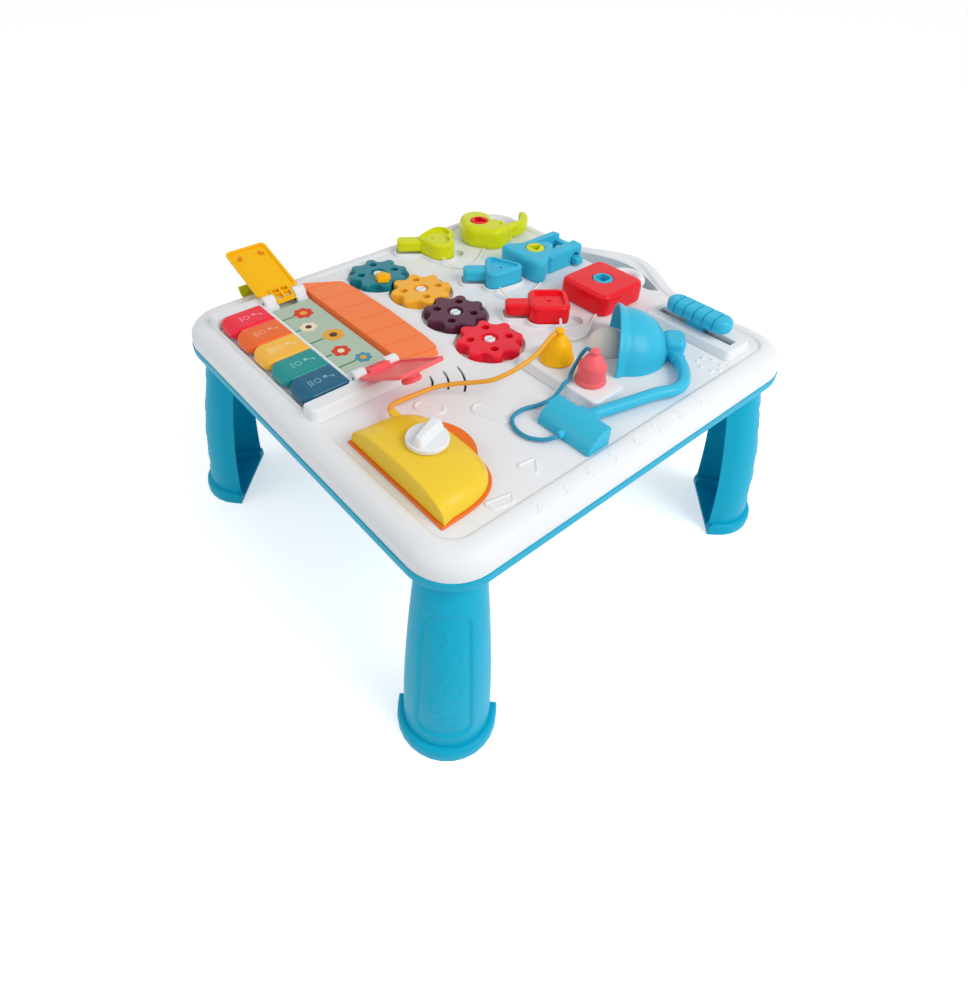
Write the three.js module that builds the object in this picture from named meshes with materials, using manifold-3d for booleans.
// Musical activity table: a low play table. Its white deck carries a small house with doors
// and piano keys, a gear train, three locks with their keys, a slider, a lamp and a dial.
// Millimetres, +Z up. On the deck, X runs across and Y from the front edge to the handle.
import * as THREE from 'three';
import { mergeVertices } from 'three/addons/utils/BufferGeometryUtils.js';
import Module from 'manifold-3d';

const wasm = await Module();
wasm.setup();

// Driving dimensions
const deckWidth = 420;
const deckDepth = 430;
const deckHeight = 220;
const cornerRadius = 41;
const handleRise = 37;
const handleHalf = 92;
const rimShoulder = 13;
const rimRound = 9;
const rimBulgeShare = 0.4;
const beadHeight = 2;
const beadStart = 16;
const rimDrop = 20;
const lipProud = 1;
const trayRound = 3;
const trayDepth = 10.3;
const wall = 2.5;
const seatGap = 0.3;
const runGap = 0.45;
const overrun = 1;
const quarter = 90;
const cornerSteps = 4;
const roundSides = 14;
const pocketSides = 20;
const smallSides = 8;

// Places on the deck, as shares of its width from the middle and of its depth from the front
const houseShare = [-0.1776, 0.2135];
const gearShare = [-0.3533, 0.47];
const heartLockShare = [-0.3595, 0.8095];
const triangleLockShare = [-0.1431, 0.8109];
const squareLockShare = [0.074, 0.8223];
const heartKeyShare = [-0.3757, 0.6581];
const triangleKeyShare = [-0.1379, 0.6872];
const squareKeyShare = [0.054, 0.6633];
const sliderShare = [0.3154, 0.8676];
const socketShare = [0.2577, 0.5209];
const lampShare = [0.381, 0.3709];
const shadeShare = [0.2452, 0.6709];
const dialShare = [0.275, 0.0712];
const slotShare = [0.0564, 0.2549];
const boardShare = [0.24, 0.36];
const batteryShare = [-0.03, 0.63];

// A closed mesh as a solid that can be joined and cut
function solidOf(geometry) {
  const plain = geometry.clone();
  plain.deleteAttribute('normal');
  plain.deleteAttribute('uv');
  const merged = mergeVertices(plain);
  const corners = [];
  for (let start = 0; start < merged.index.count; start += 3) {
    const [a, b, c] = merged.index.array.slice(start, start + 3);
    if (a !== b && b !== c && c !== a) corners.push(a, b, c);
  }
  return new wasm.Manifold(new wasm.Mesh({
    numProp: 3,
    vertProperties: new Float32Array(merged.attributes.position.array),
    triVerts: new Uint32Array(corners),
  }));
}

// A solid as a geometry that a mesh can hold
function geometryOf(solid) {
  const mesh = solid.getMesh();
  const geometry = new THREE.BufferGeometry();
  geometry.setAttribute('position', new THREE.BufferAttribute(mesh.vertProperties, 3));
  geometry.setIndex(new THREE.BufferAttribute(mesh.triVerts, 1));
  geometry.computeVertexNormals();
  return geometry;
}

function joined(...solids) {
  return solids.reduce((whole, next) => whole.add(next));
}

function without(solid, ...tools) {
  return tools.reduce((rest, tool) => rest.subtract(tool), solid);
}

// Outlines: lists of points, anticlockwise
function at(x, y) {
  return new THREE.Vector2(x, y);
}

function arc(x, y, radius, from, to, steps) {
  const points = [];
  for (let step = 0; step <= steps; step += 1) {
    const angle = THREE.MathUtils.degToRad(from + (to - from) * step / steps);
    points.push(at(x + radius * Math.cos(angle), y + radius * Math.sin(angle)));
  }
  return points;
}

function circle(x, y, radius, sides = roundSides) {
  return arc(x, y, radius, 0, 360, sides).slice(0, sides);
}

function rectangle(x0, x1, y0, y1) {
  return [at(x0, y0), at(x1, y0), at(x1, y1), at(x0, y1)];
}

function rounded(corners, radius, steps = 4) {
  const longestShare = 0.5;
  const nearShare = 0.01;
  const points = [];
  corners.forEach((corner, index) => {
    const before = corners.at(index - 1).clone().sub(corner);
    const after = corners[(index + 1) % corners.length].clone().sub(corner);
    const shortest = Math.min(before.length(), after.length());
    const reach = Math.min(radius / Math.tan(before.angleTo(after) / 2), shortest * longestShare);
    const start = before.setLength(reach).add(corner);
    const end = after.setLength(reach).add(corner);
    points.push(...new THREE.QuadraticBezierCurve(start, corner, end).getPoints(steps));
  });
  return points.filter((point, index) => point.distanceTo(points.at(index - 1)) > radius * nearShare);
}

// An outline moved in by an inset, or out where the inset is below zero
function inset(points, depth) {
  return points.map((point, index) => {
    const before = point.clone().sub(points.at(index - 1)).normalize();
    const after = points[(index + 1) % points.length].clone().sub(point).normalize();
    const bisector = at(-before.y - after.y, before.x + after.x);
    return bisector.multiplyScalar(depth / (1 + before.dot(after))).add(point);
  });
}

function placed(points, x, y, turn = 0) {
  const centre = at(0, 0);
  return points.map((point) => {
    return point.clone().rotateAround(centre, THREE.MathUtils.degToRad(turn)).add(at(x, y));
  });
}

// A skin through rings with the same number of points, closed at both ends
function loft(rings) {
  const count = rings[0].length;
  const index = [];
  for (let ring = 0; ring + 1 < rings.length; ring += 1) {
    for (let side = 0; side < count; side += 1) {
      const a = ring * count + side;
      const b = ring * count + (side + 1) % count;
      index.push(a, b, b + count, a, b + count, a + count);
    }
  }
  const last = (rings.length - 1) * count;
  THREE.ShapeUtils.triangulateShape(rings[0], []).forEach(([a, b, c]) => index.push(c, b, a));
  THREE.ShapeUtils.triangulateShape(rings.at(-1), []).forEach(([a, b, c]) => {
    index.push(a + last, b + last, c + last);
  });
  const geometry = new THREE.BufferGeometry();
  const positions = rings.flat().flatMap((point) => point.toArray());
  geometry.setAttribute('position', new THREE.Float32BufferAttribute(positions, 3));
  geometry.setIndex(index);
  return geometry;
}

function ringAt(points, z) {
  return points.map((point) => new THREE.Vector3(point.x, point.y, z));
}

// A solid of stacked outlines; each level is an inset and a height
function stack(outline, levels) {
  return solidOf(loft(levels.map(([depth, z]) => ringAt(inset(outline, depth), z))));
}

function prism(outline, low, high) {
  return solidOf(loft([ringAt(outline, low), ringAt(outline, high)]));
}

function block(x0, x1, y0, y1, z0, z1) {
  const size = new THREE.Vector3(Math.abs(x1 - x0), Math.abs(y1 - y0), Math.abs(z1 - z0));
  const geometry = new THREE.BoxGeometry(...size.toArray());
  geometry.translate((x0 + x1) / 2, (y0 + y1) / 2, (z0 + z1) / 2);
  return solidOf(geometry);
}

function drum(x, y, radius, low, high, sides = roundSides) {
  return prism(circle(x, y, radius, sides), low, high);
}

// Bars along X and along Y
function barX(radius, x0, x1, y, z, sides = smallSides) {
  const geometry = new THREE.CylinderGeometry(radius, radius, x1 - x0, sides);
  geometry.rotateZ(Math.PI / 2);
  geometry.translate((x0 + x1) / 2, y, z);
  return solidOf(geometry);
}

function barY(radius, y0, y1, x, z, sides = smallSides) {
  const geometry = new THREE.CylinderGeometry(radius, radius, y1 - y0, sides);
  geometry.translate(x, (y0 + y1) / 2, z);
  return solidOf(geometry);
}

// A body of revolution about Z; the profile runs from the lowest to the highest point
function turned(profile, sides = roundSides) {
  const geometry = new THREE.LatheGeometry(profile.map(([radius, z]) => at(radius, z)), sides);
  geometry.rotateX(Math.PI / 2);
  return geometry;
}

function tube(route, radius, sides, steps) {
  const section = new THREE.Shape(circle(0, 0, radius, sides));
  const points = route.map((point) => new THREE.Vector3(...point));
  const path = new THREE.CatmullRomCurve3(points, false, 'centripetal');
  return solidOf(new THREE.ExtrudeGeometry(section, { steps, extrudePath: path }));
}

function piece(name, solid, colour, roughness, parent) {
  const material = new THREE.MeshStandardMaterial({ color: colour, roughness, metalness: 0 });
  const mesh = new THREE.Mesh(geometryOf(solid), material);
  mesh.name = name;
  parent.add(mesh);
  return mesh;
}

function group(parent, x = 0, y = 0, z = 0) {
  const holder = new THREE.Group();
  holder.position.set(x, y, z);
  parent.add(holder);
  return holder;
}

function spot([acrossShare, alongShare]) {
  return at(deckWidth * acrossShare, deckDepth * alongShare);
}

function onDeck(share) {
  const place = spot(share);
  return group(deck, place.x, place.y);
}

// Colours
const white = '#f2f2f2';
const cyan = '#12a5c6';
const sky = '#35b5d3';
const teal = '#0e7f93';
const amber = '#f5b335';
const plum = '#4a1b33';
const red = '#df1f2d';
const crimson = '#e31837';
const lime = '#b5cf1e';
const orange = '#ff8f4a';
const sun = '#ffbe0b';
const pink = '#f4707d';
const sage = '#b9c9b5';
const steel = '#b8bcc0';
const smooth = 0.35;
const satin = 0.5;

const table = new THREE.Group();
const deck = group(table, 0, 0, deckHeight);

// Gear train: eight round lobes each, four gears in a row, the first one led by a star knob
const gearPitchShare = 0.137143;
const gearTipShare = 0.552083;
const gearRootShare = 0.427083;
const gearHoleShare = 0.321181;
const gearPitch = deckWidth * gearPitchShare;
const gearTip = gearPitch * gearTipShare;
const gearRoot = gearPitch * gearRootShare;
const gearHoleReach = gearPitch * gearHoleShare;
const gearTop = 6;
const gearDepth = 5.4;
const gearLobes = 8;
const lobeSteps = 5;
const gearChamfer = 0.8;
const gearHoleRadius = 3.9;
const gearHoles = 4;
const hubRecessRadius = 8;
const hubRecessDepth = 2.8;
const postRadius = 4.2;
const prongOverhang = 1.1;
const prongHeight = 1.8;
const prongSlot = 2.2;
const pocketMargin = 1.8;
const gearTurns = [15, -1.9, -6.1];
const firstPhase = 28;
const starLobes = 5;
const starTip = 8.4;
const starRoot = 6.9;
const starHeight = 6.8;
const starPegRadius = 3.4;
const gearNames = ['gear_teal', 'gear_yellow', 'gear_purple', 'gear_red'];
const gearColours = [teal, amber, plum, crimson];

const gearCentres = [spot(gearShare)];
const gearPhases = [firstPhase];
for (const turn of gearTurns) {
  const step = THREE.MathUtils.degToRad(turn);
  const last = gearCentres.at(-1);
  gearCentres.push(at(last.x + gearPitch * Math.cos(step), last.y + gearPitch * Math.sin(step)));
  gearPhases.push(2 * turn - gearPhases.at(-1) + 180 / gearLobes);
}
const pocketRadius = gearTip + pocketMargin;
const pocketDepth = gearDepth + seatGap;
const recessFloor = gearTop - hubRecessDepth;

function lobed(tip, root, lobes, steps) {
  const points = [];
  for (let index = 0; index < lobes * steps; index += 1) {
    const angle = 2 * Math.PI * index / (lobes * steps);
    const radius = (tip + root) / 2 + (tip - root) / 2 * Math.cos(lobes * angle);
    points.push(at(radius * Math.cos(angle), radius * Math.sin(angle)));
  }
  return points;
}

gearCentres.forEach((centre, number) => {
  const place = group(deck, centre.x, centre.y);
  place.rotation.z = THREE.MathUtils.degToRad(gearPhases[number]);
  const outline = lobed(gearTip, gearRoot, gearLobes, lobeSteps);
  const cuts = [
    drum(0, 0, postRadius + prongOverhang + runGap, -gearDepth - overrun, gearTop + overrun),
    drum(0, 0, hubRecessRadius, recessFloor, gearTop + overrun),
  ];
  for (let hole = 0; hole < gearHoles; hole += 1) {
    const angle = 2 * Math.PI * (hole / gearHoles - 1 / gearLobes);
    const x = gearHoleReach * Math.cos(angle);
    const y = gearHoleReach * Math.sin(angle);
    cuts.push(drum(x, y, gearHoleRadius, -gearDepth - overrun, gearTop + overrun, smallSides));
  }
  const levels = [[0, -gearDepth], [0, gearTop - gearChamfer], [gearChamfer, gearTop]];
  const solid = without(stack(outline, levels), ...cuts);
  piece(gearNames[number], solid, gearColours[number], smooth, place);
});

const starPlace = group(deck, gearCentres[0].x, gearCentres[0].y);
starPlace.rotation.z = THREE.MathUtils.degToRad(firstPhase - 360 / gearLobes);
const starLevels = [
  [0, gearTop + seatGap],
  [0, gearTop + starHeight - gearChamfer],
  [gearChamfer, gearTop + starHeight],
];
const star = joined(
  stack(lobed(starTip, starRoot, starLobes, lobeSteps), starLevels),
  drum(0, 0, starPegRadius, -gearDepth, gearTop + overrun, smallSides),
);
piece('star_knob', star, sun, smooth, starPlace).position.x = gearHoleReach;

// Locks: body plans about the keyway, and the turning keyway core in each
const keywayRadius = 10.4;
const keywayHole = 9;
const keywayFloor = 3;
const keywayProud = 0.6;
const lockChamfer = 3;
const lockSkirt = 1.2;
const lockShoulder = 1.1;
const heartLockTop = 23;
const triangleLockTop = 23;
const squareLockTop = 22.5;

// Heart plan with its tip at the origin: two lobes, a notch between them, and a round tip
function heartPlan(width, depth, tipRadius) {
  const lobeShare = 0.29;
  const lobeSteps = 9;
  const radius = width * lobeShare;
  const centre = at(width / 2 - radius, depth - radius);
  const reach = centre.length();
  const tangent = centre.angle() - Math.asin(radius / reach);
  const start = THREE.MathUtils.radToDeg(tangent) - quarter;
  const notch = 180 - THREE.MathUtils.radToDeg(Math.acos(centre.x / radius));
  const right = arc(centre.x, centre.y, radius, start, notch, lobeSteps);
  const left = right.slice(0, -1).reverse().map((point) => at(-point.x, point.y));
  const bend = [left.at(-1), at(0, 0), right[0]];
  const tip = new THREE.QuadraticBezierCurve(
    bend[0].clone().sub(bend[1]).setLength(tipRadius), bend[1], bend[2].clone().setLength(tipRadius),
  ).getPoints(cornerSteps);
  return [...tip, ...right, ...left];
}

function keyway(name, plan, top, colour, parent) {
  const core = without(
    drum(0, 0, keywayRadius, keywayFloor, top + keywayProud),
    prism(plan, keywayFloor + wall, top + keywayProud + overrun),
  );
  return piece(name, core, colour, satin, parent);
}

function lockLevels(top) {
  return [
    [0, seatGap],
    [0, top - lockChamfer],
    [lockShoulder, top - lockChamfer / 3],
    [lockChamfer, top],
  ];
}

function keywayBore(top) {
  const radius = keywayRadius + runGap;
  return drum(0, 0, radius, keywayFloor - seatGap, top + overrun);
}

// Heart lock: body with a round dish behind it, and the hook shackle that closes over the dish
const heartWidth = 66.7;
const heartDepth = 49;
const heartTipRadius = 16;
const heartTipBack = -25.1;
const heartShift = 3.2;
const dishX = 2.3;
const dishY = 37;
const dishRadius = 18.7;
const dishFloor = 8;
const dishMargin = 0.8;
const hookOuter = 29;
const hookInner = 19.4;
const hookLow = 4;
const hookHigh = 20.4;
const hookStart = -36;
const hookEnd = 97;
const hookRoot = 8.2;
const hookPinRadius = 3;
const hookX = 24.8;
const hookY = 19.2;
const hookPoint = 14;
const hookSwing = 38;
const hookSwingSteps = 3;
const heartHoleWidth = 15.6;
const heartHoleDepth = 13.6;
const heartHoleTip = 2;
const heartHoleBack = -7.4;

const heartHolePlan = heartPlan(heartHoleWidth, heartHoleDepth, heartHoleTip);
const heartHole = placed(heartHolePlan, 0, heartHoleBack);
const heartLock = onDeck(heartLockShare);
const heartOutline = placed(heartPlan(heartWidth, heartDepth, heartTipRadius), heartShift, heartTipBack);
const dishCore = drum(dishX, dishY, dishRadius, -dishFloor - wall, seatGap + overrun);
const hookSeat = drum(hookX, hookY, hookRoot + runGap, hookLow - seatGap, heartLockTop + overrun);
const heartBody = joined(
  without(stack(heartOutline, lockLevels(heartLockTop)), hookSeat, keywayBore(heartLockTop)),
  prism(heartOutline, -dishFloor - wall, seatGap + overrun).intersect(dishCore),
  drum(dishX, dishY, dishRadius, -dishFloor - wall, -dishFloor),
  drum(hookX, hookY, hookPinRadius, hookLow - overrun, hookHigh, smallSides),
);
piece('heart_lock_body', heartBody, lime, smooth, heartLock);
keyway('heart_keyway', heartHole, heartLockTop, red, heartLock);

const hookArc = arc(dishX, dishY, hookOuter, hookStart, hookEnd, roundSides);
const hookReturn = arc(dishX, dishY, hookInner, hookEnd - hookPoint, hookStart, roundSides);
const hookBand = placed([...hookArc, ...hookReturn], -hookX, -hookY);
const hook = without(
  joined(
    stack(hookBand, [[0, hookLow], [0, hookHigh - lockSkirt], [lockSkirt, hookHigh]]),
    drum(0, 0, hookRoot, hookLow, hookHigh),
  ),
  drum(0, 0, hookPinRadius + runGap, hookLow - overrun, hookHigh + overrun, smallSides),
);
const hookGap = stack(placed(heartOutline, -hookX, -hookY), [
  [-runGap, -overrun],
  [-runGap, heartLockTop + overrun],
]);
const hookKeep = drum(0, 0, hookRoot, hookLow, hookHigh);
const hookGaps = [hookGap];
for (let step = 1; step <= hookSwingSteps; step += 1) {
  hookGaps.push(hookGap.rotate([0, 0, -hookSwing * step / hookSwingSteps]));
}
const hookFree = joined(without(hook, ...hookGaps), hook.intersect(hookKeep));
piece('heart_lock_shackle', hookFree, lime, smooth, heartLock).position.set(hookX, hookY, 0);

// Triangle lock: body with a buckle frame behind it, the sliding bolt and its lug
const triangleApex = 31;
const triangleBase = 25.7;
const triangleLeft = 36;
const triangleRight = 40;
const triangleRound = 9;
const armLeftX0 = -22.6;
const armLeftX1 = -12.9;
const armRightX0 = 9.7;
const armRightX1 = 23.2;
const frameBack = 52.6;
const frameTop = 20.4;
const frameBarY = 45.6;
const frameBarTop = 14;
const frameFloor = 2.4;
const plateTop = 9;
const plateFront = 34.6;
const boltLength = 14;
const boltWidth = 9;
const boltTop = 12;
const boltY = 40.1;
const lugWidth = 10;
const lugLow = 3;
const lugHigh = 10;
const lugReach = 9;

const triangleLock = onDeck(triangleLockShare);
const triangleOutline = rounded(
  [at(-triangleLeft, -triangleBase), at(triangleRight, -triangleBase), at(0, triangleApex)],
  triangleRound,
);
const frameRound = lockSkirt * 2;
const framePlan = rounded(rectangle(armLeftX0, armRightX1, 0, frameBack), frameRound);
const lugHole = block(
  armRightX0 - overrun, armRightX1 + overrun,
  boltY - lugWidth / 2 - runGap, boltY + lugWidth / 2 + runGap,
  lugLow - runGap, lugHigh + runGap,
);
const frameSolid = without(
  stack(framePlan, [[0, seatGap], [0, frameTop - lockSkirt], [lockSkirt, frameTop]]),
  block(armLeftX1, armRightX0, 0, plateFront, plateTop, frameTop + overrun),
  block(armLeftX1, armRightX0, plateFront, frameBarY, frameFloor, frameTop + overrun),
  block(armLeftX1, armRightX0, frameBarY, frameBack + overrun, frameBarTop, frameTop + overrun),
  lugHole,
);
const triangleBody = without(
  joined(frameSolid, stack(triangleOutline, lockLevels(triangleLockTop))),
  keywayBore(triangleLockTop),
);
piece('triangle_lock_body', triangleBody, sky, smooth, triangleLock);
const triangleHole = rounded(circle(0, 0, keywayHole + wall, 3), wall).map((point) => at(-point.y, point.x));
keyway('triangle_keyway', triangleHole, triangleLockTop, lime, triangleLock);

const boltRight = armRightX0 - runGap;
const boltPlan = rounded(
  rectangle(boltRight - boltLength, boltRight, boltY - boltWidth / 2, boltY + boltWidth / 2),
  boltWidth / 2,
);
const bolt = stack(boltPlan, [[0, lugLow], [0, boltTop - lockSkirt], [lockSkirt, boltTop]]);
piece('triangle_lock_bolt', bolt, white, smooth, triangleLock);
const lug = block(
  boltRight + seatGap, armRightX1 + lugReach,
  boltY - lugWidth / 2, boltY + lugWidth / 2, lugLow, lugHigh,
);
piece('triangle_lock_lug', lug, sky, smooth, triangleLock);

// Square lock: body with two ribs, and the U shackle that slides out of it
const squareHalf = 30.4;
const squareHoleShare = 0.84;
const squareRound = 9;
const shackleHalf = 14.9;
const shackleRadius = 5.5;
const shackleZ = 8;
const shackleTop = 38.5;
const shackleRoot = 11.5;
const shackleSteps = 18;
const ribInner = 9;
const ribWidth = 12;
const ribDepth = 7;
const ribTop = 16.5;

const squareLock = onDeck(squareLockShare);
const squarePlan = rounded(rectangle(-squareHalf, squareHalf, -squareHalf, squareHalf), squareRound);
const squareCuts = [keywayBore(squareLockTop)];
for (const side of [-1, 1]) {
  const bore = shackleRadius + runGap;
  const start = shackleRoot - seatGap;
  squareCuts.push(barY(bore, start, squareHalf + lockSkirt + overrun, side * shackleHalf, shackleZ));
}
const squareBody = without(stack(squarePlan, lockLevels(squareLockTop)), ...squareCuts);
const squareRibs = [-1, 1].map((side) => block(
  side * ribInner, side * (ribInner + ribWidth),
  squareHalf - ribDepth, squareHalf + lockSkirt, seatGap, ribTop,
));
const squareWhole = without(joined(squareBody, ...squareRibs), ...squareCuts.slice(1));
piece('square_lock_body', squareWhole, red, smooth, squareLock);
const squareHole = rounded(rectangle(-keywayHole, keywayHole, -keywayHole, keywayHole), keywayHole)
  .map((point) => point.multiplyScalar(squareHoleShare));
keyway('square_keyway', squareHole, squareLockTop, sky, squareLock);
const shackleRoute = [
  [-shackleHalf, shackleRoot, shackleZ],
  ...arc(0, shackleTop, shackleHalf, 180, 0, smallSides).map((point) => [point.x, point.y, shackleZ]),
  [shackleHalf, shackleRoot, shackleZ],
];
const shackle = tube(shackleRoute, shackleRadius, smallSides, shackleSteps);
piece('square_lock_shackle', shackle, white, smooth, squareLock);

// Keys: a head with a sunk face and a small hole, and a shaft; each lies in a bordered nest
const keyTop = 20.5;
const keyChamfer = 2;
const keyFaceRim = 5;
const keyFaceDepth = 0.8;
const keyPinRadius = 2.2;
const keyPinDepth = 4;
const keyPinSides = 6;
const shaftLow = 4.5;
const shaftHigh = 17;
const shaftWidth = 16;
const shaftRound = 4.5;
const heartKeyWidth = 52;
const heartKeyDepth = 43;
const heartKeyBack = -18;
const heartKeyTip = 12;
const triangleKeyReach = 31;
const triangleKeyRound = 9;
const squareKeySide = 39;
const squareKeyRound = 7;
const nestMargin = 1.2;
const nestWall = 2.2;
const nestHeight = 3.6;
const notchRadius = 8.8;
const notchDepth = 5;
const heartShaft = 39.2;
const heartNotchX = 3.2;
const heartNotchY = 27.4;
const triangleShaft = 38.9;
const triangleNotchX = -25.9;
const triangleNotchY = -10.4;
const squareShaft = 42.4;
const squareNotchX = 8.4;
const squareNotchY = 25.6;

const keyKinds = [
  {
    name: 'key_heart',
    share: heartKeyShare,
    turn: -36.3,
    head: placed(heartPlan(heartKeyWidth, heartKeyDepth, heartKeyTip), 0, heartKeyBack),
    shaft: heartShaft,
    notch: at(heartNotchX, heartNotchY),
    colour: lime,
  },
  {
    name: 'key_triangle',
    share: triangleKeyShare,
    turn: -38.2,
    head: placed(rounded(circle(0, 0, triangleKeyReach, 3), triangleKeyRound), 0, 0, 90),
    shaft: triangleShaft,
    notch: at(triangleNotchX, triangleNotchY),
    colour: sky,
  },
  {
    name: 'key_square',
    share: squareKeyShare,
    turn: -38.5,
    head: rounded(
      rectangle(-squareKeySide / 2, squareKeySide / 2, -squareKeySide / 2, squareKeySide / 2),
      squareKeyRound,
    ),
    shaft: squareShaft,
    notch: at(squareNotchX, squareNotchY),
    colour: red,
  },
];

for (const kind of keyKinds) {
  const place = onDeck(kind.share);
  place.rotation.z = THREE.MathUtils.degToRad(kind.turn);
  const headLevels = [
    [keyChamfer, seatGap],
    [0, seatGap + keyChamfer],
    [0, keyTop - keyChamfer],
    [keyChamfer, keyTop],
  ];
  const shaftPlan = rounded(
    rectangle(-shaftWidth / 2, shaftWidth / 2, -kind.shaft, 0),
    shaftRound,
  );
  const shaftLevels = [
    [keyChamfer, shaftLow],
    [0, shaftLow + keyChamfer],
    [0, shaftHigh - keyChamfer],
    [keyChamfer, shaftHigh],
  ];
  const solid = without(
    joined(stack(kind.head, headLevels), stack(shaftPlan, shaftLevels)),
    prism(inset(kind.head, keyFaceRim), keyTop - keyFaceDepth, keyTop + overrun),
    drum(0, 0, keyPinRadius, keyTop - keyPinDepth, keyTop + overrun, keyPinSides),
  );
  piece(kind.name, solid, kind.colour, smooth, place);
}

// Tethers: thin cords from each lock to its key
const tetherRadius = 1.25;
const tetherSides = 6;
const tetherSteps = 13;
// Routes of the cords are drawn for a deck of this width and depth
const drawnWidth = 420;
const drawnDepth = 430;

function laid(route) {
  return route.map(([x, y, z]) => [x * deckWidth / drawnWidth, y * deckDepth / drawnDepth, z]);
}

const tethers = {
  tether_heart: [
    [-124.5, 332.5, 2.2], [-121, 329, 2.2], [-115, 320, 2.2], [-106, 305, 2.2], [-102, 292, 2.2],
    [-107, 279.5, 3.4], [-116, 274, 6.2], [-125.5, 273.5, 8.4],
  ],
  tether_triangle: [
    [-26.5, 325.8, 2.2], [-23.5, 318, 2.2], [-19, 306, 2.2], [-14, 296, 2.2], [-14, 286, 2.2],
    [-20, 278, 3.4], [-28, 275.5, 6.2], [-37.4, 277, 8.4],
  ],
  tether_square: [
    [53.6, 321.8, 2.2], [58, 312, 2.2], [67, 298, 2.2], [72, 284, 2.2], [69, 270, 2.4],
    [60, 269, 5], [52, 273, 8.6], [45.6, 278.5, 10],
  ],
};
for (const [name, route] of Object.entries(tethers)) {
  piece(name, tube(laid(route), tetherRadius, tetherSides, tetherSteps), white, satin, deck);
}

// Slider: a track with a slot along it, and the ribbed grip whose foot runs under the slot
const trackShare = 0.117143;
const slotMargin = 9.2;
const gripMargin = 15.4;
const trackHalfY = 18.6;
const trackRound = 6;
const trackTop = 8;
const trackSlope = 3;
const slotHalfY = 4.8;
const channelHalfY = 9;
const channelTop = 5;
const gripHalfY = 10.8;
const gripLow = 14;
const gripHigh = 28;
const gripRound = 3.5;
const stemHalfX = 9;
const grooveCount = 5;
const grooveWidth = 2;
const grooveDepth = 1.4;
const groovePitch = 10.4;

const trackHalfX = deckWidth * trackShare;
const slotHalfX = trackHalfX - slotMargin;
const gripHalfX = trackHalfX - gripMargin;
const slider = onDeck(sliderShare);
const trackPlan = rounded(rectangle(-trackHalfX, trackHalfX, -trackHalfY, trackHalfY), trackRound);
const trackLevels = [[0, seatGap], [trackSlope, trackTop - overrun], [trackSlope + overrun, trackTop]];
const track = without(
  stack(trackPlan, trackLevels),
  block(-slotHalfX, slotHalfX, -slotHalfY, slotHalfY, -overrun, trackTop + overrun),
  block(-slotHalfX, slotHalfX, -channelHalfY, channelHalfY, -overrun, channelTop),
);
piece('slider_track', track, white, satin, slider);
const gripPlan = rounded(rectangle(-gripHalfX, gripHalfX, -gripHalfY, gripHalfY), gripHalfY);
const gripLevels = [
  [gripRound, gripLow],
  [0, gripLow + gripRound],
  [0, gripHigh - gripRound],
  [gripRound, gripHigh],
];
const gripCuts = [];
for (let groove = 0; groove < grooveCount; groove += 1) {
  const x = (groove - (grooveCount - 1) / 2) * groovePitch;
  gripCuts.push(without(
    block(
      x - grooveWidth / 2, x + grooveWidth / 2, -gripHalfY - overrun, gripHalfY + overrun,
      gripLow + gripRound, gripHigh + overrun,
    ),
    block(
      x - grooveWidth, x + grooveWidth, -gripHalfY + grooveDepth, gripHalfY - grooveDepth,
      gripLow, gripHigh - grooveDepth,
    ),
  ));
}
const stemNeckY = slotHalfY - runGap;
const stemFootY = channelHalfY - runGap;
const grip = without(
  joined(
    stack(gripPlan, gripLevels),
    block(-stemHalfX, stemHalfX, -stemNeckY, stemNeckY, overrun, gripLow + gripRound),
    block(-stemHalfX, stemHalfX, -stemFootY, stemFootY, seatGap, channelTop - seatGap),
  ),
  ...gripCuts,
);
piece('slider_grip', grip, sky, smooth, slider);

// Socket box with two plugs that pull out upward
const socketWidthShare = 0.113333;
const socketHalfX = deckWidth * socketWidthShare;
const socketHalfY = 21;
const socketTop = 10;
const socketRound = 7;
const socketSlope = 2.5;
const plugShank = 8;
const plugFoot = 1;
const plugYellowShare = -0.401261;
const plugPinkShare = 0.457983;
const plugYellowY = 3.2;
const plugPinkY = 1.6;
const plugSkirt = 3.5;
const plugYellowBase = 15.5;
const plugYellowShoulder = 8;
const plugYellowHeight = 30.7;
const plugPinkBase = 13.2;
const plugPinkShoulder = 8.5;
const plugPinkHeight = 31.5;
const nubRadius = 4.4;
const nubHeight = 6;
const nubShoulder = 9.6;

function plug(baseRadius, shoulderRadius, height) {
  const base = socketTop + seatGap;
  const top = base + height;
  return solidOf(turned([
    [0, plugFoot], [plugShank, plugFoot], [plugShank, base], [baseRadius, base],
    [baseRadius, base + plugSkirt], [shoulderRadius, top - nubShoulder],
    [nubRadius, top - nubHeight], [nubRadius, top - overrun], [nubRadius - overrun, top], [0, top],
  ]));
}

const sockets = onDeck(socketShare);
const plugYellow = at(socketHalfX * plugYellowShare, plugYellowY);
const plugPink = at(socketHalfX * plugPinkShare, plugPinkY);
const socketPlan = rounded(rectangle(-socketHalfX, socketHalfX, -socketHalfY, socketHalfY), socketRound);
const socketLevels = [[0, seatGap], [socketSlope, socketTop - overrun], [socketSlope + overrun, socketTop]];
const socketBores = [plugYellow, plugPink].map((place) => {
  return drum(place.x, place.y, plugShank + runGap, -overrun, socketTop + overrun);
});
piece('socket_box', without(stack(socketPlan, socketLevels), ...socketBores), white, satin, sockets);
const yellowPlug = plug(plugYellowBase, plugYellowShoulder, plugYellowHeight);
piece('plug_yellow', yellowPlug, sun, smooth, sockets).position.set(plugYellow.x, plugYellow.y, 0);
const pinkPlug = plug(plugPinkBase, plugPinkShoulder, plugPinkHeight);
piece('plug_pink', pinkPlug, pink, smooth, sockets).position.set(plugPink.x, plugPink.y, 0);

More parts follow.
